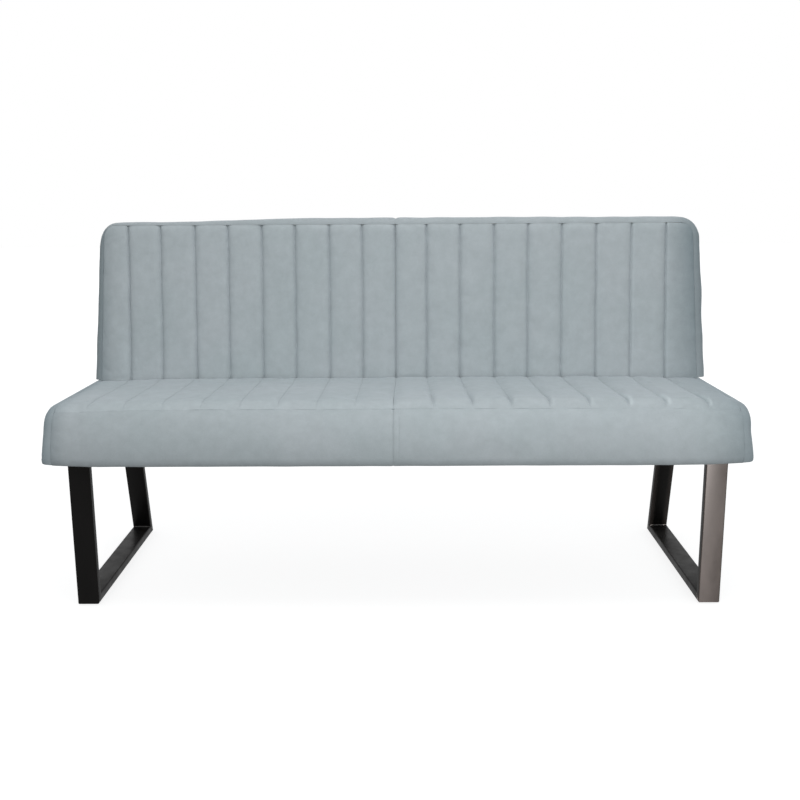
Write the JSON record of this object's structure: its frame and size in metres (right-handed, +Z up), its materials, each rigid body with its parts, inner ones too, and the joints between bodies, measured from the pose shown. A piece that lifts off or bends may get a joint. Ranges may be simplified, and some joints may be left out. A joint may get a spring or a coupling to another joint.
{
  "type": "upholstered dining bench",
  "caption": "Long dining bench with a channel-quilted seat and backrest, padded borders and two steel loop legs.",
  "frame": {"origin": "on the floor, at the centre of the bench's plan box", "axes": "+X along the bench, to the right of someone who looks at its front; +Y from the front of the bench to its rear; +Z up"},
  "size_m": [1.55, 0.637, 0.887],
  "materials": {
    "cover_fabric": "pale blue-grey short-pile upholstery fabric, matt, sewn in channels",
    "dust_cloth": "black spun-bonded dust cover",
    "foam": "cream open-cell foam",
    "felt": "grey needle felt",
    "webbing": "black elastic webbing with a ribbed weave",
    "hardboard": "plain brown hardboard",
    "frame_timber": "planed softwood, unfinished",
    "plywood": "birch plywood with layered edges, unfinished",
    "leg_coating": "satin black powder coat on steel tube",
    "black_steel": "black zinc-plated fasteners",
    "zinc_steel": "bright zinc-plated steel",
    "glide_plastic": "matt black nylon floor glide"
  },
  "bodies": {
    "root": {"seat_ribbed_panel_left": "cover_fabric", "seat_ribbed_panel_right": "cover_fabric", "nose_panel_left": "cover_fabric", "nose_panel_right": "cover_fabric", "seat_side_panel_left": "cover_fabric", "seat_side_panel_right": "cover_fabric", "back_ribbed_panel_left": "cover_fabric", "back_ribbed_panel_right": "cover_fabric", "back_border_left": "cover_fabric", "back_border_right": "cover_fabric", "rear_panel_left": "cover_fabric", "rear_panel_right": "cover_fabric", "dust_cover": "dust_cloth", "dust_cover_staples": "zinc_steel", "seat_foam": "foam", "seat_felt": "felt", "seat_webbing": "webbing", "back_foam": "foam", "back_webbing": "webbing", "rear_board": "hardboard", "seat_front_rail": "frame_timber", "seat_middle_rail": "frame_timber", "seat_rear_rail": "frame_timber", "seat_end_rail_left": "frame_timber", "seat_end_rail_right": "frame_timber", "seat_cross_rails": "frame_timber", "back_end_rib_left": "plywood", "back_end_rib_right": "plywood", "back_inner_rib_left": "plywood", "back_inner_rib_right": "plywood", "back_top_rail": "frame_timber", "back_lower_rails": "frame_timber", "frame_screws": "zinc_steel", "rib_bolts": "zinc_steel", "rib_washers": "zinc_steel", "rib_nuts": "zinc_steel", "leg_front_post_left": "leg_coating", "leg_front_post_right": "leg_coating", "leg_rear_post_left": "leg_coating", "leg_rear_post_right": "leg_coating", "leg_floor_rail_left": "leg_coating", "leg_floor_rail_right": "leg_coating", "leg_top_plate_left": "leg_coating", "leg_top_plate_right": "leg_coating", "leg_bolts": "black_steel", "leg_washers": "black_steel", "leg_tee_nuts": "zinc_steel", "floor_glides": "glide_plastic"}
  },
  "joints": []
}
